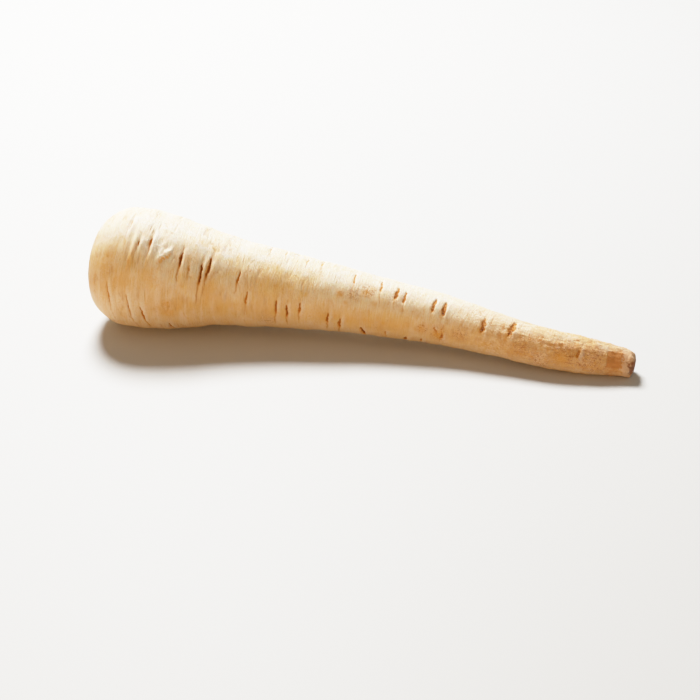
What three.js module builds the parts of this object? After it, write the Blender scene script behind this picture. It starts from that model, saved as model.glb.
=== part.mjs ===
// A parsnip root, topped and lying on its side. Millimetres, +Z up.
// The crown is at -X and the snapped tail at +X. Z = 0 is the surface that it lies on: the swollen
// belly behind the crown and the tail press on it, and the middle of the root arches just clear.
// A place on the skin is given by its station, which is its distance from the crown along the root,
// and its turn, in degrees round the root from the top towards -Y.
import * as THREE from "three";

// Driving dimensions
const rootLength = 265;
const rootForms = [
  // [radius, sideways bend towards +Y] at every twelfth of the length, from the crown to the tail
  [31.7, -5.5],
  [29.6, -3.9],
  [26.7, -2.1],
  [22.0, 0.3],
  [19.4, 2.5],
  [17.2, 4.1],
  [15.0, 5.0],
  [13.5, 5.1],
  [12.0, 4.1],
  [10.2, 0.5],
  [9.4, -2.8],
  [8.4, -2.5],
  [6.0, -1.2],
];
const axisHeight = { crown: 30.4, tail: 5.9 }; // of the root's middle line, at its two ends
const shoulder = { depth: 32, fullness: 2.56 }; // the domed crown end
const snappedTip = { depth: 5.2, fullness: 2.7 }; // the blunt end where the tail broke off

// The hollow in the crown, and the trimmed stub of the leaf stalks that stands in it
const hollow = { floorRadius: 7, rimRadius: 13, depth: 4.6 };
const stub = { radius: 5.4, skirt: 1.6, height: 3.4, stalks: 5, stalkRelief: 0.5 };

// Low relief of the skin
const slit = { halfWidth: 1.0, depth: 0.9 };
const furrow = { halfWidth: 1.4, depth: 0.55 };
const rings = { height: 0.2, pitch: 13, fadeStation: 150 };
const flutes = { two: 0.012, three: 0.008, twistStation: 80 }; // heights as shares of the radius
const tipRaggedness = 0.55;

// Slits on the -Y side, where side roots once grew: [station, turn, length round the root, slant]
// A slant moves the lower end of a slit towards the tail by that much, and its upper end back.
const nearSlits = [
  [16.0, 92, 15, 1.0],
  [20.7, 17, 9, -0.3],
  [25.8, 103, 19, 1.5],
  [32.2, 112, 12, 1.1],
  [32.4, 34, 6, -0.1],
  [44.2, 137, 11, 0.7],
  [47.4, 46, 9, -0.3],
  [57.0, 58, 12, -0.3],
  [60.4, 49, 12, -0.7],
  [74.9, 55, 7, -0.4],
  [79.7, 81, 8, -0.2],
  [86.3, 354, 6, 0],
  [94.2, 91, 9, -0.1],
  [99.5, 95, 8, 0.1],
  [105.6, 87, 7, -0.1],
  [111.7, 354, 7, 0.3],
  [119.3, 99, 7, -0.1],
  [125.2, 110, 8, -0.3],
  [128.8, 15, 10, 0.2],
  [136.4, 127, 8, 0.7],
  [142.0, 18, 9, 0.4],
  [150.1, 26, 9, 0],
  [154.4, 32, 8, 0.2],
  [157.4, 135, 6, -0.4],
  [169.0, 32, 9, -0.3],
  [174.2, 34, 9, 0],
  [194.5, 44, 9, 0],
  [207.5, 29, 10, -0.5],
  [238.4, 60, 5, -0.2],
];
// Soft open furrows of the shoulder, in the same terms
const furrows = [
  [23.5, 44, 20, -0.3],
  [27.6, 38, 9, 0],
  [32.4, 37, 15, -0.3],
  [37.3, 37, 7, -0.6],
  [47.4, 55, 18, -0.4],
];
// Slits on the far side share those stations, because side roots grew in rings
const farSlits = { seed: 41, turns: [160, 345], lengths: [5, 11], chance: 0.75 };

// How finely the faces are cut
const sides = 42;
const hollowRings = 11;
const domeRings = 5;
const domeRingShare = 0.8; // the dome's own rings reach out to this share of its full radius
const tipRings = 6;
const ringGap = { shortest: 0.8, longest: 5 };

const { clamp, degToRad, euclideanModulo, lerp, radToDeg, smoothstep } = THREE.MathUtils;

// One curve holds the station, the bend and the radius. Its points are evenly spaced along the
// root, so a share of the length is also the curve's own parameter.
const formCurve = new THREE.CatmullRomCurve3(
  rootForms.map(
    ([radius, bend], i) => new THREE.Vector3((rootLength * i) / (rootForms.length - 1), bend, radius),
  ),
  false,
  "catmullrom",
);

function formAt(station) {
  return formCurve.getPoint(clamp(station / rootLength, 0, 1));
}

// Rises from 0 at the very end to 1 at the full depth of a domed end
function domeShare(distance, { depth, fullness }) {
  const short = 1 - clamp(distance / depth, 0, 1);
  return (1 - short ** fullness) ** (1 / fullness);
}

// The distance from a domed end at which it has reached that share of its full radius
function domeDistance(share, { depth, fullness }) {
  return depth * (1 - (1 - share ** fullness) ** (1 / fullness));
}

function outlineRadius(station) {
  const full = formAt(station).z;
  return full * domeShare(station, shoulder) * domeShare(rootLength - station, snappedTip);
}

// How far the hollow and its stub move the crown's surface along the root
function crownSink(radius) {
  const sunk = hollow.depth * (1 - smoothstep(radius, hollow.floorRadius, hollow.rimRadius));
  const raised = stub.height * (1 - smoothstep(radius, stub.radius, stub.radius + stub.skirt));
  return sunk - raised;
}

// Park and Miller's generator, so that the far slits are the same on every run
function makeDraw(seed) {
  let state = seed;
  return (low, high) => {
    state = (state * 16807) % 2147483647;
    return lerp(low, high, state / 2147483647);
  };
}

function toGroove([station, turn, length, slant]) {
  return { station, turn, length, slant };
}

function makeSlits() {
  const near = nearSlits.map(toGroove);
  const draw = makeDraw(farSlits.seed);
  const far = near
    .map(({ station }) => ({
      station,
      turn: draw(...farSlits.turns),
      length: draw(...farSlits.lengths),
      slant: 0,
      keep: draw(0, 1) < farSlits.chance,
    }))
    .filter(({ keep }) => keep);
  return [...near, ...far];
}

const slits = makeSlits();

// A slit or a furrow is a short groove across the root, between two low lips
function grooveRelief(grooves, { halfWidth, depth }, station, turn, girth) {
  let relief = 0;
  for (const { station: middle, turn: facing, length, slant } of grooves) {
    const away = euclideanModulo(turn - facing + 180, 360) - 180;
    const along = (degToRad(away) * girth) / (length / 2);
    const across = (station - middle - slant * along) / halfWidth;
    relief -= depth * (1 - 1.2 * across ** 2) * Math.exp(-(across ** 2) - along ** 4);
  }
  return relief;
}

function skinRelief(station, turn, girth) {
  const angle = degToRad(turn);
  const twist = station / flutes.twistStation;
  const fluted =
    flutes.two * Math.cos(2 * angle - twist) + flutes.three * Math.cos(3 * angle + 2 * twist);
  const phase = (2 * Math.PI * station) / rings.pitch + 1.3 * Math.sin(angle + 0.7);
  const ringed = rings.height * Math.exp(-station / rings.fadeStation) * Math.sin(phase);
  const tipShare = 1 - clamp((rootLength - station) / snappedTip.depth, 0, 1);
  const ragged = tipRaggedness * tipShare * (Math.sin(3 * angle) + 0.6 * Math.cos(7 * angle));
  const slitted = grooveRelief(slits, slit, station, turn, girth);
  const furrowed = grooveRelief(furrows.map(toGroove), furrow, station, turn, girth);
  return girth * fluted + ringed + ragged + slitted + furrowed;
}

// The cut stalks leave low ridges round the stub's top
function stubRelief(radius, angle) {
  const band = Math.exp(-(((radius / stub.radius - 0.6) / 0.3) ** 2));
  return stub.stalkRelief * band * Math.cos(stub.stalks * angle);
}

// Stations of the rings from the dome to the tip: three for each slit, and more in long gaps
function bodyStations(first, last) {
  const lip = 1.5 * slit.halfWidth;
  const wanted = nearSlits
    .flatMap(([station]) => [station, station - lip, station + lip])
    .filter((station) => station > first && station < last);
  const kept = [first, last];
  for (const station of wanted) {
    const clear = kept.every((other) => Math.abs(other - station) >= ringGap.shortest);
    if (clear) kept.push(station);
  }
  kept.sort((a, b) => a - b);
  const filled = [first];
  for (const station of kept.slice(1)) {
    const before = filled.at(-1);
    const steps = Math.ceil((station - before) / ringGap.longest);
    for (let k = 1; k <= steps; k++) filled.push(lerp(before, station, k / steps));
  }
  return filled;
}

// A point of the crown's outline at that share of the dome's full radius
function crownPoint(share) {
  const station = domeDistance(share, shoulder);
  const radius = formAt(station).z * share;
  return new THREE.Vector2(radius, station + crownSink(radius));
}

// The root's outline from the crown to the tip as [radius, station], on the axis at both ends
function outlinePoints() {
  const points = [];
  const rimShare = hollow.rimRadius / rootForms[0][0];
  for (let i = 0; i < hollowRings; i++) points.push(crownPoint(rimShare * (i / hollowRings)));
  for (let i = 0; i < domeRings; i++)
    points.push(crownPoint(lerp(rimShare, domeRingShare, i / domeRings)));
  const first = domeDistance(domeRingShare, shoulder);
  const last = rootLength - snappedTip.depth;
  for (const station of bodyStations(first, last))
    points.push(new THREE.Vector2(outlineRadius(station), station));
  for (let i = tipRings - 1; i >= 0; i--) {
    const share = Math.sin((i / tipRings) * (Math.PI / 2));
    const station = rootLength - domeDistance(share, snappedTip);
    points.push(new THREE.Vector2(formAt(station).z * share, station));
  }
  return points;
}

// The middle line at a station, with the directions that point up and to -Y across it
function spineAt(station) {
  const share = clamp(station / rootLength, 0, 1);
  const height = lerp(axisHeight.crown, axisHeight.tail, share);
  const centre = new THREE.Vector3(station - rootLength / 2, formAt(station).y, height);
  const slope = formCurve.getTangent(share);
  const fall = (slope.x * (axisHeight.crown - axisHeight.tail)) / rootLength;
  const along = new THREE.Vector3(slope.x, slope.y, -fall).normalize();
  const side = new THREE.Vector3().crossVectors(along, new THREE.Vector3(0, 0, 1)).normalize();
  const up = new THREE.Vector3().crossVectors(side, along);
  return { centre, up, side };
}

// Bends the straight turned root along its middle line, adds the relief, and lets the surface
// that it lies on press small flats into the belly and the tail
function bendRoot(geometry) {
  const position = geometry.getAttribute("position");
  const point = new THREE.Vector3();
  for (let i = 0; i < position.count; i++) {
    point.fromBufferAttribute(position, i);
    const radius = Math.hypot(point.x, point.z);
    const angle = radius > 1e-6 ? Math.atan2(point.x, point.z) : 0;
    const onCrown = point.y < shoulder.depth / 2;
    const station = onCrown ? point.y - stubRelief(radius, angle) : point.y;
    const skinned = onCrown ? smoothstep(radius, hollow.rimRadius, 1.5 * hollow.rimRadius) : 1;
    const turn = euclideanModulo(radToDeg(angle), 360);
    const relief = skinned * Math.min(1, radius / 4) * skinRelief(station, turn, radius);
    const { centre, up, side } = spineAt(station);
    point
      .copy(centre)
      .addScaledVector(up, (radius + relief) * Math.cos(angle))
      .addScaledVector(side, (radius + relief) * Math.sin(angle));
    position.setXYZ(i, point.x, point.y, Math.max(point.z, 0));
  }
  return geometry;
}

// Moves the geometry sideways so that the middle of its box stands over the origin
function centreOnOrigin(geometry) {
  geometry.computeBoundingBox();
  const middle = geometry.boundingBox.getCenter(new THREE.Vector3());
  return geometry.translate(-middle.x, -middle.y, 0);
}

function makeParsnip() {
  const turned = new THREE.LatheGeometry(outlinePoints(), sides);
  const geometry = centreOnOrigin(bendRoot(turned));
  geometry.computeVertexNormals();
  const skin = new THREE.MeshStandardMaterial({ color: 0xe2bd85, roughness: 0.6, metalness: 0 });
  const mesh = new THREE.Mesh(geometry, skin);
  mesh.name = "parsnip";
  return mesh;
}

const part = new THREE.Group();
part.add(makeParsnip());

export default part;
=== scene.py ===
import math
import random

import bpy
import numpy as np
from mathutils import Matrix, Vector, noise


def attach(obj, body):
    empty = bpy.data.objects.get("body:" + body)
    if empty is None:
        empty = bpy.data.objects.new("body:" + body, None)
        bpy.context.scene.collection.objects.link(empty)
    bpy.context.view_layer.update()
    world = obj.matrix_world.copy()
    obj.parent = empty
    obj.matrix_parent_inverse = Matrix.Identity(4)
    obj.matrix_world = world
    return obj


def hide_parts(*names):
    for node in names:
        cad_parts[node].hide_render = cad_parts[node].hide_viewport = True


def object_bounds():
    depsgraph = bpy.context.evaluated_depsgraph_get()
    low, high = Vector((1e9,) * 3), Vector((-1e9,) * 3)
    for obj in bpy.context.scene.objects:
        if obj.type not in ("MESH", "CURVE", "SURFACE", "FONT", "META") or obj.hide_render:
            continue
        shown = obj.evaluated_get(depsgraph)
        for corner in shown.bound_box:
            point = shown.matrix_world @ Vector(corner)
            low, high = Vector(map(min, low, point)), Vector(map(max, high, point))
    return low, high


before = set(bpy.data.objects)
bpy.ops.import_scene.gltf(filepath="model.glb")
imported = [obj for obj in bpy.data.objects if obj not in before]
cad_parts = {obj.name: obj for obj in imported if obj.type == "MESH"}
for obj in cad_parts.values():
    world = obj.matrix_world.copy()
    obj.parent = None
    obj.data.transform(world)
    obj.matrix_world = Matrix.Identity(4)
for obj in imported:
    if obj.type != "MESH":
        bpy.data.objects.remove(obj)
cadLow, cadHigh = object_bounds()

print("frame loaded: parsnip is", [round(side, 4) for side in cadHigh - cadLow], "m")

# The root is worked out in millimetres, by the same rules as its solid, and made in metres.
# station: distance from the crown along the root. turn: degrees round it, from the top towards -Y.
mm = 0.001

rootForm = {
    "length": 265.0,
    "forms": [  # radius and sideways bend at every twelfth of the length, crown to tail
        (31.7, -5.5), (29.6, -3.9), (26.7, -2.1), (22.0, 0.3), (19.4, 2.5), (17.2, 4.1), (15.0, 5.0),
        (13.5, 5.1), (12.0, 4.1), (10.2, 0.5), (9.4, -2.8), (8.4, -2.5), (6.0, -1.2),
    ],
    "axisHeight": (30.4, 5.9),  # crown end, tail end
    "shoulder": (32.0, 2.56),  # depth and fullness of the domed crown end
    "snappedTip": (5.2, 2.7),
    "flutes": (0.012, 0.008, 80.0),  # two-sided, three-sided, station of one twist
    "rings": (0.2, 13.0, 150.0),  # height, pitch, station at which they fade
    "tipRaggedness": 0.55,
    "hollow": {
        "floorRadius": 7.0, "rimRadius": 13.0, "depth": 4.6,
        "scars": (7.4, 8.9, 10.3, 11.6), "scarHeight": 0.35, "scarWidth": 0.3,  # rings of leaf scars
    },
    "stub": {
        "radius": 5.4, "skirt": 1.6, "height": 3.4,
        "stalks": 5, "stalkRelief": 0.5,
        "stalkOff": 3.3, "stalkRadius": 1.2, "rimHeight": 0.3, "rimWidth": 0.35,  # each cut stalk end
    },
    "turns": 176,
    "hollowRings": 40,
    "domeRings": 18,
    "bodyRings": 465,
    "tipRings": 16,
    "domeRingShare": 0.8,
}

# Slits on the -Y side: station, turn, length, slant, width, darkness
nearSlits = [
    (16.0, 92, 15, 1.0, 0.35, 0.34),
    (20.7, 17, 9, -0.3, 0.40, 0.30),
    (25.8, 103, 19, 1.5, 0.35, 0.34),
    (32.2, 112, 12, 1.1, 0.40, 0.50),
    (32.4, 34, 6, -0.1, 0.52, 0.46),
    (44.2, 137, 11, 0.7, 0.40, 0.50),
    (47.4, 46, 9, -0.3, 0.44, 0.72),
    (57.0, 58, 12, -0.3, 0.45, 0.78),
    (60.4, 49, 12, -0.7, 0.46, 0.80),
    (74.9, 55, 7, -0.4, 0.42, 0.60),
    (79.7, 81, 8, -0.2, 0.40, 0.50),
    (86.3, 354, 6, 0.0, 0.40, 0.28),
    (94.2, 91, 9, -0.1, 0.42, 0.64),
    (99.5, 95, 8, 0.1, 0.46, 0.66),
    (105.6, 87, 7, -0.1, 0.40, 0.56),
    (111.7, 354, 7, 0.3, 0.45, 0.32),
    (119.3, 99, 7, -0.1, 0.55, 0.64),
    (125.2, 110, 8, -0.3, 0.58, 0.60),
    (128.8, 15, 10, 0.2, 0.52, 0.36),
    (136.4, 127, 8, 0.7, 0.72, 0.85),
    (142.0, 18, 9, 0.4, 0.52, 0.38),
    (150.1, 26, 9, 0.0, 0.72, 0.60),
    (154.4, 32, 8, 0.2, 0.62, 0.48),
    (157.4, 135, 6, -0.4, 0.70, 0.60),
    (169.0, 32, 9, -0.3, 0.85, 0.60),
    (174.2, 34, 9, 0.0, 0.95, 0.64),
    (194.5, 44, 9, 0.0, 1.05, 0.64),
    (207.5, 29, 10, -0.5, 1.15, 0.66),
    (238.4, 60, 5, -0.2, 0.80, 0.45),
]
smallSlits = [  # too small for the solid
    (27.1, 38, 3.4, -0.1, 0.56, 0.42),
    (51.5, 55, 4.5, 0.0, 0.35, 0.38),
    (93.9, 352, 6, 0.2, 0.40, 0.28),
    (104.7, 0, 5, 0.0, 0.45, 0.32),
    (147.6, 121, 3.6, 0.0, 0.45, 0.40),
    (165.0, 131, 4, -0.3, 0.50, 0.42),
    (172.0, 86, 3, 0.6, 0.50, 0.42),
    (175.5, 101, 4, -0.5, 0.60, 0.55),
]
# Open furrows of the shoulder: station, turn, length, slant, width, depth
furrows = [
    (23.5, 44, 20, -0.3, 1.1, 0.75),
    (27.6, 38, 9, 0.0, 0.9, 0.40),
    (32.4, 37, 15, -0.3, 1.1, 0.75),
    (37.3, 37, 7, -0.6, 0.9, 0.50),
    (47.4, 55, 18, -0.4, 1.1, 0.50),
    (13.0, 18, 9, 0.2, 0.9, 0.40),
    (20.7, 19, 12, -0.3, 1.0, 0.45),
    (37.6, 63, 9, 0.2, 1.1, 0.30),
    (57.3, 58, 20, -0.6, 1.3, 0.45),
    (61.0, 48, 18, -0.9, 1.3, 0.45),
]
farSlits = {
    "seed": 41, "turns": (160, 345), "lengths": (5, 11), "chance": 0.75,
    "widths": (0.45, 0.8), "darkness": (0.4, 0.9),
}


def smooth(value, low, high):
    share = np.clip((value - low) / (high - low), 0, 1)
    return share * share * (3 - 2 * share)


def domeShare(distance, dome):
    depth, fullness = dome
    short = 1 - np.clip(distance / depth, 0, 1)
    return (1 - short**fullness) ** (1 / fullness)


def domeDistance(share, dome):
    depth, fullness = dome
    return depth * (1 - (1 - share**fullness) ** (1 / fullness))


def alongForms(column, station):  # a Catmull-Rom curve through the evenly spaced forms
    value = np.array([form[column] for form in rootForm["forms"]])
    value = np.concatenate([[2 * value[0] - value[1]], value, [2 * value[-1] - value[-2]]])
    spans = len(rootForm["forms"]) - 1
    place = np.clip(np.asarray(station) / rootForm["length"], 0, 1) * spans
    first = np.minimum(place.astype(int), spans - 1)
    t = place - first
    before, start, end, after = (value[first + k] for k in range(4))
    leave, arrive = (end - before) / 2, (after - start) / 2
    return (
        start
        + leave * t
        + (3 * (end - start) - 2 * leave - arrive) * t**2
        + (2 * (start - end) + leave + arrive) * t**3
    )


def outlineRadius(station):
    dome = domeShare(station, rootForm["shoulder"])
    tip = domeShare(rootForm["length"] - station, rootForm["snappedTip"])
    return alongForms(0, station) * dome * tip


def crownSink(radius):
    hollow, stub = rootForm["hollow"], rootForm["stub"]
    sunk = hollow["depth"] * (1 - smooth(radius, hollow["floorRadius"], hollow["rimRadius"]))
    raised = stub["height"] * (1 - smooth(radius, stub["radius"], stub["radius"] + stub["skirt"]))
    return sunk - raised


def makeDraw(seed):  # the generator that places the far slits of the solid
    state = seed

    def draw(low, high):
        nonlocal state
        state = (state * 16807) % 2147483647
        return low + (high - low) * state / 2147483647

    return draw


def makeSlits():
    names = ("station", "turn", "length", "slant", "width", "darkness")
    near = [dict(zip(names, row)) for row in nearSlits]
    draw, pick = makeDraw(farSlits["seed"]), random.Random(farSlits["seed"])
    far = []
    for slit in near:
        turn, length = draw(*farSlits["turns"]), draw(*farSlits["lengths"])
        kept = draw(0, 1) < farSlits["chance"]
        look = [pick.uniform(*farSlits[key]) for key in ("widths", "darkness")]
        look[1] *= 1 - 0.7 * smooth(turn, 300, 335)  # those that face up have hardly opened
        if kept:
            far.append(dict(zip(names, (slit["station"], turn, length, 0, *look))))
    return near + far + [dict(zip(names, row)) for row in smallSlits]


def ringStations():  # rings of vertices, closer together over the slits
    first = domeDistance(rootForm["domeRingShare"], rootForm["shoulder"])
    last = rootForm["length"] - rootForm["snappedTip"][0]
    fine = np.linspace(first, last, 6000)
    density = np.ones_like(fine)
    for slit in slits:
        density += 0.9 * np.exp(-(((fine - slit["station"]) / 1.6) ** 2))
    reach = np.concatenate([[0], np.cumsum((density[1:] + density[:-1]) / 2)])
    return np.interp(np.linspace(0, reach[-1], rootForm["bodyRings"]), reach, fine)


def outlineRings():  # every ring's radius and station, from the crown's axis to the tip's
    shoulder, tip = rootForm["shoulder"], rootForm["snappedTip"]
    rim = rootForm["hollow"]["rimRadius"] / rootForm["forms"][0][0]
    inner = np.linspace(0, rim, rootForm["hollowRings"], endpoint=False)
    outer = np.linspace(rim, rootForm["domeRingShare"], rootForm["domeRings"], endpoint=False)
    share = np.concatenate([inner, outer])
    crownStation = domeDistance(share, shoulder)
    crownRadius = alongForms(0, crownStation) * share
    body = ringStations()
    tipShare = np.sin(np.linspace(math.pi / 2, 0, rootForm["tipRings"] + 2)[1:-1])
    tipStation = rootForm["length"] - domeDistance(tipShare, tip)
    tipRadius = alongForms(0, tipStation) * tipShare
    radius = np.concatenate([crownRadius, outlineRadius(body), tipRadius])
    station = np.concatenate([crownStation + crownSink(crownRadius), body, tipStation])
    return radius, station


def perlin(points, scale, seed, octaves=1):  # scale: millimetres per lump on each axis
    spots = points / np.asarray(scale) + seed * 17.3
    if octaves == 1:
        return np.array([noise.noise(Vector(spot)) for spot in spots])
    return np.array([noise.fractal(Vector(spot), 0.9, 2.0, octaves) for spot in spots])


slits = makeSlits()
paintedMarks = ("core", "stain", "thread", "lip", "specks", "paled", "rubbed", "furrow", "hollow", "stub")
print("slits placed:", len(slits))

# How a slit is cut: lengths are in millimetres, and places along it go from -1 at its upper end to
# 1 at its lower end
slitLook = {
    "reach": 9.0,  # no slit or furrow marks the skin further off than this
    "depth": 0.7, "valleyDepth": 0.12,
    "edgeScale": (1.3, 1.6, 1.6), "raggedness": (0.16, 0.45),  # the least, and more with its width
    "waver": 0.14, "flare": 0.3, "bluntness": 0.7,  # its course, its lower end, and both its ends
    "edge": 0.2,  # the soft edge beside its open width
    "lipHeight": 0.22, "lipOff": 0.9, "lipWidth": 0.8,  # on the side of the tail
    "corkFrom": (0.6, 1.0), "corkHeight": 0.7,  # widths at which its middle is corky
    "threadWidth": 0.42, "threadEnd": (1.8, 3.4),  # the thin line that trails from its lower end
    "wideFrom": (0.5, 0.8),  # widths at which its lower end is darker, and its thread fainter
}
# Fine relief of the skin: each height in millimetres, millimetres per lump, and seed
skinRelief = {
    "lumps": (0.30, 16.0, 5), "dimples": (0.12, 5.5, 7),
    "creases": (0.06, (1.5, 12.0, 12.0), 7),  # short folds across the root
    "fineFurrows": (0.26, (3.4, 17.0, 17.0), 4),  # thin furrows across the shoulder
    "tailFolds": (0.28, (3.6, 2.0, 2.0), 9), "tailPits": (0.26, 2.2, 8),
    "tipBreak": (1.0, 2.4, 9),
}
# Stations between which some of it fades out or comes in
reliefSpans = {"furrowsFade": (50.0, 130.0), "tailStarts": (170.0, 235.0), "tipBreaks": (260.0, 263.5)}
# A rubbed patch on the shoulder, with a flap of lifted skin at its lower edge
scuff = {
    "station": 34.0, "turn": 41.0, "size": (7.0, 4.5), "crumple": 0.8, "crumpleScale": (2.0, 1.5, 1.5),
    "flapStation": 40.4, "flapTurn": 45.5, "flapLength": 3.0, "flapHeight": 0.95, "tilt": 1.05,
    "tornScale": (2.6, 2.2, 2.2), "torn": (0.5, 1.5),  # how far its edge strays, along and across
}
# Soft ochre stains, patches of brown specks, and pale patches: station, turn, radius, strength
stains = [
    (123.9, 53, 2.6, 0.62), (127, 65, 1.4, 0.5), (136, 42, 3.0, 0.45), (138.5, 30, 2.0, 0.4),
    (141, 57, 2.5, 0.4), (147, 60, 5.0, 0.3), (174, 96, 4.0, 0.6), (165, 92, 3.0, 0.45),
    # The four broad ones at turns 66 to 78 darken the lower front of the shoulder and body: painted shade
    (22, 74, 10.0, 0.3), (36, 72, 11.0, 0.4), (62, 78, 11.0, 0.36), (82, 66, 9.0, 0.3),
    (51, 40, 6.5, 0.36), (43, 36, 3.5, 0.3), (44, 108, 5.5, 0.5), (43.5, 96, 3.2, 0.5),
    (40, 102, 3.2, 0.4), (33, 58, 4.0, 0.2), (88, 50, 4.0, 0.3), (108, 66, 3.0, 0.3),
    (152, 43, 6.0, 0.35), (182, 60, 4.0, 0.35), (231, 80, 4.0, 0.5), (20, 75, 2.0, 0.3),
    (14, 55, 4.0, 0.3), (60, 230, 6.0, 0.4), (110, 290, 5.0, 0.4), (160, 210, 5.0, 0.4),
    (200, 250, 4.0, 0.4), (30, 310, 6.0, 0.35),
]
speckled = [
    (43.5, 96, 4.0, 0.35), (39, 104, 5.0, 0.25), (143, 104, 7.0, 0.25), (118, 90, 6.0, 0.2),
    (19.5, 84, 0.9, 0.8), (130, 46, 5.0, 0.5), (137, 36, 4.0, 0.7), (150, 36, 5.0, 0.4),
    (174, 96, 4.0, 1.0), (165.5, 91, 2.5, 0.9), (185, 84, 5.0, 0.5), (214, 80, 7.0, 0.5),
    (232, 74, 6.0, 0.7), (245, 66, 5.0, 1.0), (243, 80, 5.0, 0.9), (222, 104, 6.0, 0.6),
    (246, 96, 5.0, 0.7), (90, 118, 6.0, 0.4), (70, 260, 6.0, 0.6), (125, 215, 6.0, 0.6),
    (180, 300, 5.0, 0.6), (235, 200, 7.0, 0.7), (243, 320, 6.0, 0.6), (35, 200, 7.0, 0.5),
]
palePatches = [
    (12, 52, 10.0, 0.6), (15, 66, 7.0, 0.5), (21, 98, 5.0, 0.7), (32, 104, 4.0, 0.6),
    (12, 104, 5.0, 0.5), (29, 70, 3.0, 0.4), (110, 104, 5.0, 0.4), (200, 112, 8.0, 0.5),
    (222, 112, 8.0, 0.7), (244, 112, 7.0, 0.8), (50, 180, 8.0, 0.4), (150, 250, 8.0, 0.4),
]


def roundFrom(turn, facing, girth):  # millimetres round the root from the turn that it faces
    return np.radians((turn - facing + 180) % 360 - 180) * np.maximum(girth, 2)


def fromMark(station, turn, girth, mark):  # which vertices lie near a mark, and where in it
    along = roundFrom(turn, mark["turn"], girth) / (mark["length"] / 2)
    across = station - mark["station"] - mark["slant"] * along
    near = (np.abs(across) < slitLook["reach"]) & (np.abs(along) < 4)
    return near, across[near], along[near]


def bump(value, width):
    return np.exp(-((value / width) ** 2))


def slitMarks(place, station, turn, girth):
    # The relief of every slit and furrow, with the masks of what colours them
    look = slitLook
    names = ("relief", "core", "stain", "thread", "lip", "specks", "paled")
    marks = {name: np.zeros_like(station) for name in names}

    def darken(name, near, value):
        marks[name][near] = np.maximum(marks[name][near], value)

    for number, slit in enumerate(slits):
        near, across, v = fromMark(station, turn, girth, slit)
        width, strength = slit["width"], slit["darkness"]
        ragged = perlin(place[near], look["edgeScale"], number, 2)
        least, more = look["raggedness"]
        u = across - look["waver"] * np.sin(3.1 * v + number) - (least + more * width) * ragged
        half = width * (1 + look["flare"] * v) * np.clip(1 - v**2, 0, 1) ** look["bluntness"]
        half = half + look["edge"]
        opened = np.clip(1.2 - (u / half) ** 2, 0, 1) * np.clip(3 - 3 * np.abs(v), 0, 1)
        cork = bump(u - 0.35 * width, 0.4 * width) * bump(v + 0.1, 0.5) * smooth(width, *look["corkFrom"])
        opened = opened - look["corkHeight"] * cork * smooth(ragged, -0.25, 0.1)
        lip = bump(u - width - look["lipOff"], look["lipWidth"]) * np.exp(-((v / 1.3) ** 4))
        depth = look["depth"] * (0.4 + 0.6 * strength)
        marks["relief"][near] += look["lipHeight"] * lip - depth * opened
        marks["relief"][near] -= look["valleyDepth"] * bump(u, 1.5 + width) * bump(v, 1.4)
        side = np.clip(u / half, -1, 1)
        wide = smooth(width, *look["wideFrom"])
        darken("core", near, strength * opened * (1 + 0.3 * side) * (1 + 0.35 * wide * v))
        darken("stain", near, strength * bump(u + 0.3 * width, 1.3 * width + 0.3) * bump(v - 0.45, 1.1))
        trail = smooth(v, 0.2, 0.9) * (1 - smooth(v, *look["threadEnd"])) + 0.6 * bump(v + 1.3, 0.5)
        trail = (1 - 0.6 * wide) * (0.25 + 0.55 * strength) * trail
        darken("thread", near, trail * bump(u, look["threadWidth"]))
        darken("lip", near, lip)
    for furrow in furrows:
        mark = dict(zip(("station", "turn", "length", "slant", "width", "depth"), furrow))
        near, u, v = fromMark(station, turn, girth, mark)
        held = np.exp(-(v**4))
        ridge = 0.7 * bump(u - 1.6 * mark["width"], mark["width"])
        marks["relief"][near] += mark["depth"] * held * (ridge - bump(u, 0.8 * mark["width"]))
    for name, spots in (("stain", stains), ("specks", speckled), ("paled", palePatches)):
        for middle, facing, radius, strength in spots:
            away = np.hypot((station - middle) / radius, roundFrom(turn, facing, girth) / radius)
            marks[name] = np.maximum(marks[name], strength * np.exp(-(away**2)))
    return marks


def solidRelief(station, turn, radius):  # the low relief that the solid has too, but for its slits
    angle = np.radians(turn)
    two, three, twistStation = rootForm["flutes"]
    twist = station / twistStation
    fluted = two * np.cos(2 * angle - twist) + three * np.cos(3 * angle + 2 * twist)
    height, pitch, fadeStation = rootForm["rings"]
    phase = 2 * np.pi * station / pitch + 1.3 * np.sin(angle + 0.7)
    ringed = height * np.exp(-station / fadeStation) * np.sin(phase)
    tipShare = 1 - np.clip((rootForm["length"] - station) / rootForm["snappedTip"][0], 0, 1)
    ragged = rootForm["tipRaggedness"] * tipShare * (np.sin(3 * angle) + 0.6 * np.cos(7 * angle))
    return radius * fluted + ringed + ragged


def noiseRelief(name, place, octaves):
    height, scale, seed = skinRelief[name]
    return height * perlin(place, scale, seed, octaves)


def fineRelief(place, station):  # the skin's own unevenness, and how deep its furrows run, from 0 to 1
    heights = sum(noiseRelief(name, place, 2) for name in ("lumps", "dimples", "creases"))
    depth, scale, seed = skinRelief["fineFurrows"]
    fade = 1 - smooth(station, *reliefSpans["furrowsFade"])
    valley = np.exp(-((perlin(place, scale, seed, 2) / 0.07) ** 2))
    valley = valley * smooth(perlin(place, 9.0, 6), -0.1, 0.25)
    heights = heights - depth * fade * valley
    onTail = smooth(station, *reliefSpans["tailStarts"])
    for name in ("tailFolds", "tailPits"):
        heights = heights + onTail * noiseRelief(name, place, 3)
    broken = smooth(station, *reliefSpans["tipBreaks"])
    return heights + broken * noiseRelief("tipBreak", place, 3), valley * (0.35 + 0.65 * fade)


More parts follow.
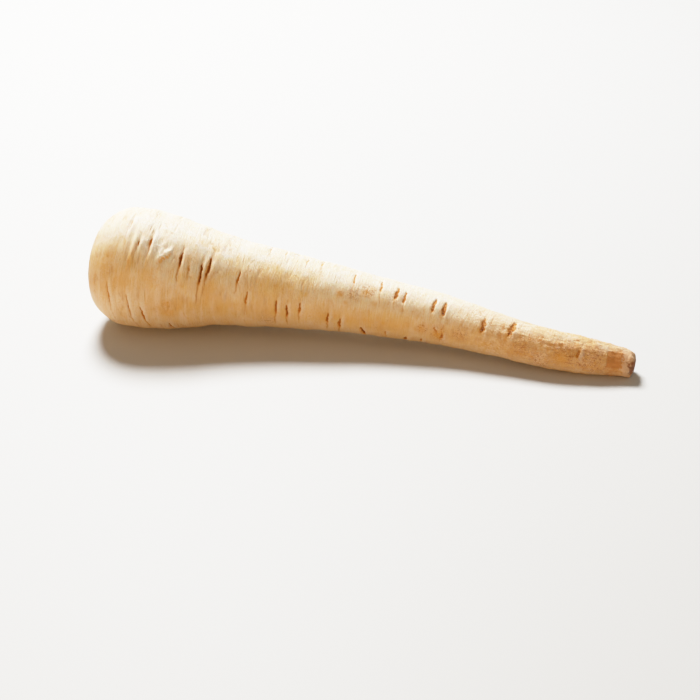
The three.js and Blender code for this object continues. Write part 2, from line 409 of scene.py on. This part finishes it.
def scuffMarks(place, station, turn, girth):
    across = (station - scuff["station"]) / scuff["size"][0]
    upwards = roundFrom(turn, scuff["turn"], girth) / scuff["size"][1]
    patch = 0.7 * np.exp(-((across**2 + upwards**2) ** 2))
    crumple = scuff["crumple"] * patch * perlin(place, scuff["crumpleScale"], 3, 3)
    ragged = perlin(place, scuff["tornScale"], 12, 2)
    tornAlong, tornAcross = scuff["torn"]
    off = station - scuff["flapStation"]
    u = off / scuff["flapLength"] + tornAlong * ragged
    v = roundFrom(turn, scuff["flapTurn"], girth) + scuff["tilt"] * off + tornAcross * ragged
    held = np.exp(-(u**4))
    flap = held * smooth(v, -3.2, -0.6) * (1 - smooth(v, -0.4, 1.6))
    crack = held * bump(v - 1.6, 1.3)
    relief = crumple + scuff["flapHeight"] * (flap - 0.25 * crack)
    return np.maximum(0.6 * patch, flap), crack, relief


def crownRelief(radius, angle):  # how far the stub's stalk ends and the hollow's scars stand up
    hollow, stub = rootForm["hollow"], rootForm["stub"]
    band = np.exp(-(((radius / stub["radius"] - 0.6) / 0.3) ** 2))
    ridges = stub["stalkRelief"] * band * np.cos(stub["stalks"] * angle)
    across, up = radius * np.sin(angle), radius * np.cos(angle)
    for k in range(stub["stalks"]):
        facing = 2 * np.pi * k / stub["stalks"]
        off = stub["stalkOff"]
        fromCentre = np.hypot(across - off * np.sin(facing), up - off * np.cos(facing))
        ridges = ridges + stub["rimHeight"] * bump(fromCentre - stub["stalkRadius"], stub["rimWidth"])
    for k, scar in enumerate(hollow["scars"]):
        wobble = 0.25 * np.sin(3 * angle + 2 * k) + 0.15 * np.sin(7 * angle + k)
        broken = 0.55 + 0.45 * np.cos((2 + k) * angle + 1.7 * k)
        scarRidge = bump(radius - scar - wobble, hollow["scarWidth"])
        ridges = ridges + hollow["scarHeight"] * broken * scarRidge
    return ridges


def spineAt(station):
    station = np.clip(station, 0, rootForm["length"])
    crown, tail = rootForm["axisHeight"]
    length = rootForm["length"]
    bend = alongForms(1, station)
    ahead, behind = np.minimum(station + 0.05, length), np.maximum(station - 0.05, 0)
    slope = (alongForms(1, ahead) - alongForms(1, behind)) / (ahead - behind)
    centre = np.stack([station - length / 2, bend, crown + (tail - crown) * station / length], -1)
    along = np.stack([np.ones_like(slope), slope, np.full_like(slope, (tail - crown) / length)], -1)
    along /= np.linalg.norm(along, axis=-1, keepdims=True)
    side = np.cross(along, [0, 0, 1])
    side /= np.linalg.norm(side, axis=-1, keepdims=True)
    return centre, np.cross(side, along), side


def rootSurface():  # every vertex of the skin, with the marks painted on it
    ringRadius, ringStation = outlineRings()
    turns = rootForm["turns"]
    turn = np.tile(np.arange(turns) * 360 / turns, len(ringRadius) - 1)
    radius = np.repeat(ringRadius[1:], turns)
    station = np.repeat(ringStation[1:], turns)
    turn, radius = np.append(turn, [0, 0]), np.append(radius, [0, 0])
    station = np.append(station, [ringStation[0], rootForm["length"]])
    angle = np.radians(turn)
    place = np.stack([station, radius * np.sin(angle), radius * np.cos(angle)], -1)
    onCrown = station < rootForm["shoulder"][0] / 2
    rim = rootForm["hollow"]["rimRadius"]
    skinned = np.where(onCrown, smooth(radius, rim, 1.5 * rim), 1.0)
    marks = slitMarks(place, station, turn, radius)
    rubbed, crack, scuffed = scuffMarks(place, station, turn, radius)
    uneven, furrow = fineRelief(place, station)
    relief = solidRelief(station, turn, radius) + marks["relief"] + scuffed
    relief = skinned * np.minimum(1, radius / 4) * relief
    relief += np.where(onCrown, np.minimum(1, radius / 12), 1.0) * uneven
    station = np.where(onCrown, station - (1 - skinned) * crownRelief(radius, angle), station)
    centre, up, side = spineAt(station)
    reach = (radius + relief)[:, None]
    point = centre + reach * (np.cos(angle)[:, None] * up + np.sin(angle)[:, None] * side)
    point[:, 2] = np.maximum(point[:, 2], 0)
    marks["stain"] = np.maximum(marks["stain"], 0.9 * crack)
    marks["rubbed"], marks["furrow"] = rubbed, furrow
    for name in marks:
        marks[name] = marks[name] * skinned
    stub = rootForm["stub"]
    marks["hollow"] = 1 - skinned
    marks["stub"] = onCrown * (1 - smooth(radius, stub["radius"] - 0.8, stub["radius"] + 0.6))
    return point, place, marks, len(ringRadius) - 1


def ringFaces(rings, turns):  # quads between the rings, and a fan of triangles at each end
    ring, step = np.meshgrid(np.arange(rings - 1), np.arange(turns), indexing="ij")
    after = (step + 1) % turns
    quads = np.stack([ring * turns + step, ring * turns + after, (ring + 1) * turns + after,
                      (ring + 1) * turns + step], -1).reshape(-1, 4)
    crown, tip, last = rings * turns, rings * turns + 1, (rings - 1) * turns
    fans = [(crown, (k + 1) % turns, k) for k in range(turns)]
    fans += [(tip, last + k, last + (k + 1) % turns) for k in range(turns)]
    return quads.tolist() + fans


def makeParsnip():
    point, place, marks, rings = rootSurface()
    middle = (point.min(0) + point.max(0)) / 2
    point[:, :2] += np.array((cadLow + cadHigh)[:2]) / 2 / mm - middle[:2]
    mesh = bpy.data.meshes.new("parsnipSkin")
    mesh.from_pydata((point * mm).tolist(), [], ringFaces(rings, rootForm["turns"]))
    mesh.attributes.new("place", "FLOAT_VECTOR", "POINT").data.foreach_set("vector", place.ravel())
    for name in paintedMarks:
        mesh.attributes.new(name, "FLOAT", "POINT").data.foreach_set("value", marks[name])
    mesh.shade_smooth()
    mesh.validate()
    parsnip = bpy.data.objects.new("parsnipSkin", mesh)
    bpy.context.scene.collection.objects.link(parsnip)
    print("parsnip made:", len(mesh.vertices), "vertices,", 2 * len(mesh.polygons), "triangles at most")
    return parsnip


def tint(*screen):  # a screen colour, 0 to 255, as the linear colour that nodes take
    linear = [((c / 255 + 0.055) / 1.055) ** 2.4 if c > 10 else c / 255 / 12.92 for c in screen]
    return (*linear, 1.0)


class Wire:  # a shader socket that plain arithmetic works on: each operator adds its Math node
    def __init__(self, finish, socket):
        self.finish, self.socket = finish, socket

    def math(self, operation, first, second):
        return self.finish.node("ShaderNodeMath", {"operation": operation}, {0: first, 1: second})

    def __add__(self, other):
        return self.math("ADD", self, other)

    def __radd__(self, other):
        return self.math("ADD", other, self)

    def __sub__(self, other):
        return self.math("SUBTRACT", self, other)

    def __rsub__(self, other):
        return self.math("SUBTRACT", other, self)

    def __mul__(self, other):
        return self.math("MULTIPLY", self, other)

    def __rmul__(self, other):
        return self.math("MULTIPLY", other, self)


class Finish:  # one material and the nodes in it
    def __init__(self, name):
        self.material = bpy.data.materials.new(name)
        self.material.use_nodes = True
        self.tree = self.material.node_tree
        self.tree.nodes.clear()

    def node(self, kind, settings=None, sockets=None, output=0):
        made = self.tree.nodes.new(kind)
        for name, value in (settings or {}).items():
            setattr(made, name, value)
        for key, value in (sockets or {}).items():
            if isinstance(value, Wire):
                self.tree.links.new(value.socket, made.inputs[key])
            else:
                made.inputs[key].default_value = value
        return Wire(self, made.outputs[output]) if made.outputs else made

    def mask(self, name):
        return self.node("ShaderNodeAttribute", {"attribute_name": name}, output="Fac")

    def axis(self, vector, letter):
        return self.node("ShaderNodeSeparateXYZ", {}, {0: vector}, output=letter)

    def between(self, value, low, high):  # 0 below low, 1 above high, and smooth between them
        sockets = {"Value": value, "From Min": low, "From Max": high}
        return self.node("ShaderNodeMapRange", {"interpolation_type": "SMOOTHSTEP"}, sockets)

    def blend(self, share, under, over):
        return self.node("ShaderNodeMix", {"data_type": "RGBA"}, {0: share, 6: under, 7: over}, output=2)

    def stretched(self, place, perMm):
        return self.node("ShaderNodeVectorMath", {"operation": "MULTIPLY"}, {0: place, 1: perMm})

    def noise(self, place, along, across, detail, roughness):
        stretched = self.stretched(place, (along, across, across))
        sockets = {"Vector": stretched, "Scale": 1.0, "Detail": detail, "Roughness": roughness}
        return self.node("ShaderNodeTexNoise", {}, sockets)

    def flecks(self, place, along, across, size, kept):  # dots in some cells of a Voronoi pattern
        sockets = {"Vector": self.stretched(place, (along, across, across)), "Scale": 1.0}
        away = self.node("ShaderNodeTexVoronoi", {}, sockets)
        colour = Wire(self, away.socket.node.outputs["Color"])
        chance = self.axis(colour, "X")
        return (1 - self.between(away, 0.5 * size, size)) * self.between(chance, 1 - kept, 1.02 - kept)

    def shader(self, **sockets):
        named = {key.replace("_", " "): value for key, value in sockets.items()}
        return self.node("ShaderNodeBsdfPrincipled", {}, named)

    def cover(self, shader):
        self.node("ShaderNodeOutputMaterial", {}, {"Surface": shader})
        return self.material


# Colours of the skin, the stations between which a part of it starts or fades, and the heights over
# the root's middle that bound the burnished front and the brown break
skinLook = {
    # Cream and the pale rubbed colour also serve as painted highlight and painted bounce light, and ochre
    # as painted shade
    "cream": tint(242, 227, 199), "tan": tint(228, 184, 116), "ochre": tint(210, 146, 54),
    "paled": tint(232, 200, 162), "rubbed": tint(240, 232, 216), "stain": tint(214, 140, 22),
    "line": tint(190, 124, 50), "fleck": tint(180, 110, 34),
    "slitEdge": tint(178, 106, 38), "slitHeart": tint(98, 47, 14),
    "tail": tint(194, 130, 56), "tailPale": tint(230, 184, 124), "burnished": tint(182, 114, 56),
    "flaked": tint(212, 170, 132), "snapped": tint(116, 62, 22),
    "scar": tint(116, 78, 44), "stalk": tint(178, 146, 92),
    "bandsFade": (40.0, 110.0), "corkFlakesFrom": (140.0, 165.0), "tailFrom": (155.0, 225.0),
    "cracksFrom": (220.0, 242.0), "burnishedFrom": (251.0, 252.0),
    "flakedFrom": (258.2, 259.2), "snappedFrom": (261.0, 262.6),
    "frontBottom": (0.2, 2.2), "frontTop": (7.0, 7.9), "breakBottom": (-2.0, 0.0), "breakTop": (4.0, 5.5),
}
# Noise patterns of the skin: lumps per millimetre along the root and across it, detail, roughness
skinPatterns = {
    "broad": (0.035, 0.05, 2, 0.55), "blotch": (0.16, 0.16, 4, 0.55), "mottle": (0.45, 0.26, 4, 0.6),
    "bands": (0.32, 0.045, 4, 0.5), "striae": (1.7, 0.16, 4, 0.65), "fineStriae": (4.5, 0.40, 3, 0.6),
    "grain": (2.8, 2.8, 4, 0.65), "fibres": (0.16, 1.1, 4, 0.6), "pits": (0.8, 1.0, 4, 0.6),
}
# Flecks: cells per millimetre along the root and across it, size in a cell, share of the cells
skinFlecks = {"small": (0.9, 0.7, 0.16, 0.5), "large": (0.45, 0.3, 0.13, 0.35)}
# Layers of colour: how strongly each shows, and where in its pattern it starts and is full
skinLayers = {
    # The third layer below darkens the lower side: painted shade
    "tan": (1.0, 0.40, 0.60), "mottling": (0.55, 0.52, 0.74), "paintedLowShade": (0.68, -0.7, 0.1),
    "paleBands": (0.22, 0.50, 0.60), "darkBands": (0.28, 0.52, 0.60),
    "tailPale": (1.0, 0.43, 0.63), "tailMottling": (0.8, 0.50, 0.60),
    # Below: painted highlight on top, patchy painted highlight within it, painted bounce light underneath,
    # then pale patches
    "paintedTopHighlight": (1.0, 0.63, 1.05), "paintedHighlightPatches": (0.6, 0.47, 0.57), "paintedBounceUnder": (0.28, 0.05, 0.6),
    "paled": (1.0, 0.42, 0.56),
    "striae": (0.45, 0.55, 0.72), "fineStriae": (0.5, 0.58, 0.70), "cracks": (0.85, 0.54, 0.60),
    "shade": (0.26, 0.40, 0.60), "broken": (1.0, 0.49, 0.53), "pitted": (0.45, 0.52, 0.58),
    "rubbed": (1.0, 0.2, 0.55), "lip": (0.35, 0.3, 0.6), "stained": (0.85, 0.12, 0.75),
    "thread": (1.0, 0.08, 0.6), "slitEdge": (1.0, 0.14, 0.42), "slitHeart": (1.0, 0.45, 0.85),
    "corkFlakes": (0.8, 0.55, 0.60), "scar": (1.0, 0.35, 0.6), "stalk": (1.0, 0.38, 0.52),
}


def skinFinish():
    finish, look = Finish("parsnipSkin"), skinLook
    place = finish.node("ShaderNodeAttribute", {"attribute_name": "place"}, output="Vector")
    station, upwards = finish.axis(place, "X"), finish.axis(place, "Z")
    outwards = finish.stretched(place, (0, 1, 1))
    spoke = finish.node("ShaderNodeVectorMath", {"operation": "NORMALIZE"}, {0: outwards})
    facingUp = finish.axis(spoke, "Z")
    # The far side, away from -Y and towards the key light; it spreads the painted highlight and holds back
    # the painted shade
    farSide = finish.between(0 - finish.axis(spoke, "Y"), 0.0, 0.8)

    def pattern(name):
        return finish.noise(place, *skinPatterns[name])

    def layer(name, value):
        strength, start, full = skinLayers[name]
        return strength * finish.between(value, start, full)

    broad, blotch, mottle = pattern("broad"), pattern("blotch"), pattern("mottle")
    bands, striae, fineStriae = pattern("bands"), pattern("striae"), pattern("fineStriae")
    grain, fibres, pits = pattern("grain"), pattern("fibres"), pattern("pits")

    # The ground: cream and tan, darker below as painted shade, paler on top as painted highlight, paler
    # again underneath as painted bounce light, and browner towards the tail
    tanShare = layer("tan", 0.45 * broad + 0.3 * blotch + 0.25 * striae)
    colour = finish.blend(tanShare, look["cream"], look["tan"])
    colour = finish.blend(layer("mottling", mottle), colour, look["ochre"])
    # Painted shade: the lower side is blended towards ochre, less so on the far side
    paintedLowShade = layer("paintedLowShade", 0.8 - facingUp - 1.6 * blotch) * (1 - 0.75 * farSide)
    colour = finish.blend(paintedLowShade, colour, look["ochre"])
    banded = 1 - 0.7 * finish.between(station, *look["bandsFade"])
    colour = finish.blend(banded * layer("paleBands", bands), colour, look["cream"])
    colour = finish.blend(banded * layer("darkBands", 1 - bands), colour, look["ochre"])
    tail = finish.between(station, *look["tailFrom"])
    tailShare = layer("tailPale", 0.5 * pits + 0.5 * fibres)
    tailTone = finish.blend(tailShare, look["tail"], look["tailPale"])
    colour = finish.blend(0.8 * tail, colour, tailTone)
    colour = finish.blend(tail * layer("tailMottling", mottle), colour, look["line"])
    # Painted highlight: the top, and the far side that faces the key light, are blended to cream, and in
    # patches to the pale rubbed colour
    paintedTopHighlight = layer("paintedTopHighlight", facingUp + 0.6 * farSide + blotch - 0.5 - 0.12 * tail)
    colour = finish.blend(0.65 * paintedTopHighlight * (1 - 0.55 * tail), colour, look["cream"])
    paintedHighlightPatches = paintedTopHighlight * layer("paintedHighlightPatches", 0.6 * blotch + 0.4 * mottle) * (1 - 0.6 * tail)
    colour = finish.blend(paintedHighlightPatches, colour, look["rubbed"])
    # Painted bounce light: the underside is blended towards cream
    colour = finish.blend(layer("paintedBounceUnder", 0 - facingUp), colour, look["cream"])
    paled = finish.mask("paled") * layer("paled", 0.5 * blotch + 0.5 * pits)
    colour = finish.blend(paled, colour, look["paled"])

    # Fine lines, cracks and flecks
    colour = finish.blend(layer("striae", striae) * (1 - 0.6 * tail), colour, look["ochre"])
    colour = finish.blend(layer("fineStriae", fineStriae) * (1 - 0.8 * tail), colour, look["line"])
    nearTip = finish.between(station + 20.0 * blotch - 10.0, *look["cracksFrom"])
    colour = finish.blend(nearTip * layer("cracks", 0.6 * fibres + 0.4 * pits), colour, look["burnished"])
    # The fine furrows are painted darker: brown lines of the skin, and painted shade in the furrows
    furrow = finish.mask("furrow")
    colour = finish.blend(0.45 * furrow, colour, look["line"])
    flecked = finish.flecks(place, *skinFlecks["small"]) + finish.flecks(place, *skinFlecks["large"])
    flecked = flecked * (0.25 + 0.6 * finish.between(mottle, 0.5, 0.7))
    colour = finish.blend(flecked, colour, look["fleck"])
    shade = layer("shade", 1 - 0.4 * grain - 0.3 * fineStriae - 0.3 * pits)
    colour = finish.blend(shade, colour, look["ochre"])
    specks = finish.between(finish.mask("specks"), 0.05, 0.6)
    specks = specks * layer("broken", 0.4 * pits + 0.6 * grain)
    colour = finish.blend(0.9 * specks, colour, look["fleck"])
    pitted = specks * layer("pitted", 0.5 * grain + 0.5 * pits)
    colour = finish.blend(pitted, colour, look["snapped"])

    # The rubbed patch, and the slits with their lips, stains and threads
    rubbed = finish.mask("rubbed")
    colour = finish.blend(rubbed * layer("rubbed", grain), colour, look["rubbed"])
    # The lips of the slits are painted pale: a painted highlight where they catch the light, beside their
    # raised relief
    colour = finish.blend(finish.mask("lip") * layer("lip", grain), colour, look["rubbed"])
    stained = layer("stained", finish.mask("stain") * (0.2 + 1.6 * pits) + 0.4 * grain - 0.2)
    colour = finish.blend(stained, colour, look["stain"])
    thread = layer("thread", finish.mask("thread") * (0.5 + mottle))
    colour = finish.blend(thread, colour, look["line"])
    core = finish.mask("core") * (0.35 + 1.3 * pits) + 0.5 * grain - 0.25
    colour = finish.blend(layer("slitEdge", core), colour, look["slitEdge"])
    colour = finish.blend(layer("slitHeart", core), colour, look["slitHeart"])
    corked = finish.between(core, 0.2, 0.45) * finish.between(station, *look["corkFlakesFrom"])
    colour = finish.blend(corked * layer("corkFlakes", grain), colour, look["flaked"])

    # The broken end: a burnished band in front, then torn flakes, then the brown break
    burnished = finish.between(station + 0.8 * grain - 0.4, *look["burnishedFrom"])
    inFront = finish.between(upwards + 3.0 * pits, *look["frontBottom"])
    inFront = inFront * (1 - finish.between(upwards + 2.0 * pits, *look["frontTop"]))
    burnished = burnished * (0.3 + 0.7 * inFront)
    colour = finish.blend(burnished * (0.65 + 0.5 * fibres), colour, look["burnished"])
    flaked = finish.between(station + 8.0 * pits - 4.0, *look["flakedFrom"])
    colour = finish.blend(flaked * (0.2 + 1.1 * grain), colour, look["flaked"])
    snapped = finish.between(station + 14.0 * mottle - 7.0, *look["snappedFrom"])
    snapped = snapped * (1 - finish.between(upwards + 3.0 * pits, *look["breakTop"]))
    snapped = snapped * finish.between(upwards + 5.0 * pits, *look["breakBottom"])
    colour = finish.blend(snapped * (0.6 + 0.6 * grain), colour, look["snapped"])

    # The scarred hollow of the crown, and the stub of stalks in it
    hollow, stub = finish.mask("hollow"), finish.mask("stub")
    rough = 0.5 * pits + 0.5 * grain
    colour = finish.blend(hollow * layer("scar", rough), colour, look["scar"])
    colour = finish.blend(stub * layer("stalk", rough), colour, look["stalk"])

    surface = 1.0 * striae + 0.7 * fineStriae + 0.5 * grain - 0.5 * furrow + 2.2 * rubbed * pits
    surface = surface + tail * (1 - burnished) * (0.5 * fibres + 1.4 * pits)
    grained = finish.node("ShaderNodeBump", {}, {"Strength": 0.9, "Distance": 0.4 * mm, "Height": surface})
    skin = finish.shader(
        Base_Color=colour, Roughness=0.42 + 0.2 * grain + 0.15 * rubbed + 0.1 * tail, Normal=grained,
        Specular_IOR_Level=0.6, Subsurface_Weight=0.15, Subsurface_Radius=(1.0, 0.5, 0.2),
        Subsurface_Scale=2.0 * mm,
    )
    cork = finish.shader(Base_Color=colour, Roughness=0.9, Specular_IOR_Level=0.1, Normal=grained)
    dry = finish.between(core, 0.12, 0.3) + 0.7 * burnished + hollow
    return finish.cover(finish.node("ShaderNodeMixShader", {}, {0: dry, 1: skin, 2: cork}))


def floorFinish():
    finish = Finish("paleFloor")
    return finish.cover(finish.shader(Base_Color=(0.53, 0.51, 0.49, 1), Roughness=0.6))


def makeFloor():
    mesh = bpy.data.meshes.new("floor")
    reach = 4.0
    corners = [(-reach, -reach, 0), (reach, -reach, 0), (reach, reach, 0), (-reach, reach, 0)]
    mesh.from_pydata(corners, [], [(0, 1, 2, 3)])
    mesh.materials.append(floorFinish())
    floor = bpy.data.objects.new("floor", mesh)
    bpy.context.scene.collection.objects.link(floor)


# Lights: where each stands in metres, its size, watts and colour
softLights = {
    "keyBehind": {"spot": (-0.45, 0.70, 1.10), "size": 0.5, "watts": 65, "colour": (0.94, 0.98, 1.0)},
    "frontFill": {"spot": (-0.45, -1.4, 0.30), "size": 0.8, "watts": 11.3, "colour": (1.0, 0.58, 0.19)},
}
daylight = {"colour": (1.0, 0.91, 0.76, 1), "strength": 0.34}
# How bright scene light prints: a straight rise with a soft shoulder, so that highlights pale as on film
printing = {
    "white": 4.0,
    "curve": [(0.0, 0.0), (0.075, 0.29), (0.15, 0.52), (0.25, 0.73), (0.45, 0.92), (1.0, 1.0)],
}


def aim(thing, spot, target):
    thing.location = spot
    thing.rotation_euler = (Vector(target) - Vector(spot)).to_track_quat("-Z", "Y").to_euler()
    bpy.context.scene.collection.objects.link(thing)


def makeLights():
    for name, light in softLights.items():
        lamp = bpy.data.lights.new(name, "AREA")
        lamp.shape, lamp.size = "DISK", light["size"]
        lamp.energy, lamp.color = light["watts"], light["colour"]
        aim(bpy.data.objects.new(name, lamp), light["spot"], (0, 0, 0.02))
    world = bpy.data.worlds.new("daylight")
    bpy.context.scene.world = world
    world.use_nodes = True
    background = world.node_tree.nodes["Background"]
    background.inputs["Color"].default_value = daylight["colour"]
    background.inputs["Strength"].default_value = daylight["strength"]


camera = {
    "azimuth": 14.0, "elevation": 27.0, "distance": 0.8, "lens": 85.0,
    "target": (0.0003, 0.01545, 0.0196), "shift": (-0.0223, -0.0797),
}


def makeCamera():
    turn, lift = math.radians(camera["azimuth"]), math.radians(camera["elevation"])
    back = Vector((math.sin(turn) * math.cos(lift), -math.cos(turn) * math.cos(lift), math.sin(lift)))
    lens = bpy.data.cameras.new("camera")
    lens.lens = camera["lens"]
    lens.shift_x, lens.shift_y = camera["shift"]
    eye = bpy.data.objects.new("camera", lens)
    target = Vector(camera["target"])
    aim(eye, target + back * camera["distance"], target)
    bpy.context.scene.camera = eye


def setPrinting():
    settings = bpy.context.scene.view_settings
    settings.view_transform = "Standard"
    settings.use_curve_mapping = True
    curves = settings.curve_mapping
    curves.white_level = (printing["white"],) * 3
    points = curves.curves[3].points
    for k, spot in enumerate(printing["curve"]):
        if k < 2:
            points[k].location = spot
        else:
            points.new(*spot)
    curves.update()


makeCamera()
makeLights()
makeFloor()
print("camera, lights and floor made")
parsnip = makeParsnip()
parsnip.data.materials.append(skinFinish())
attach(parsnip, "root")
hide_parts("parsnip")
print("skin finished")

setPrinting()
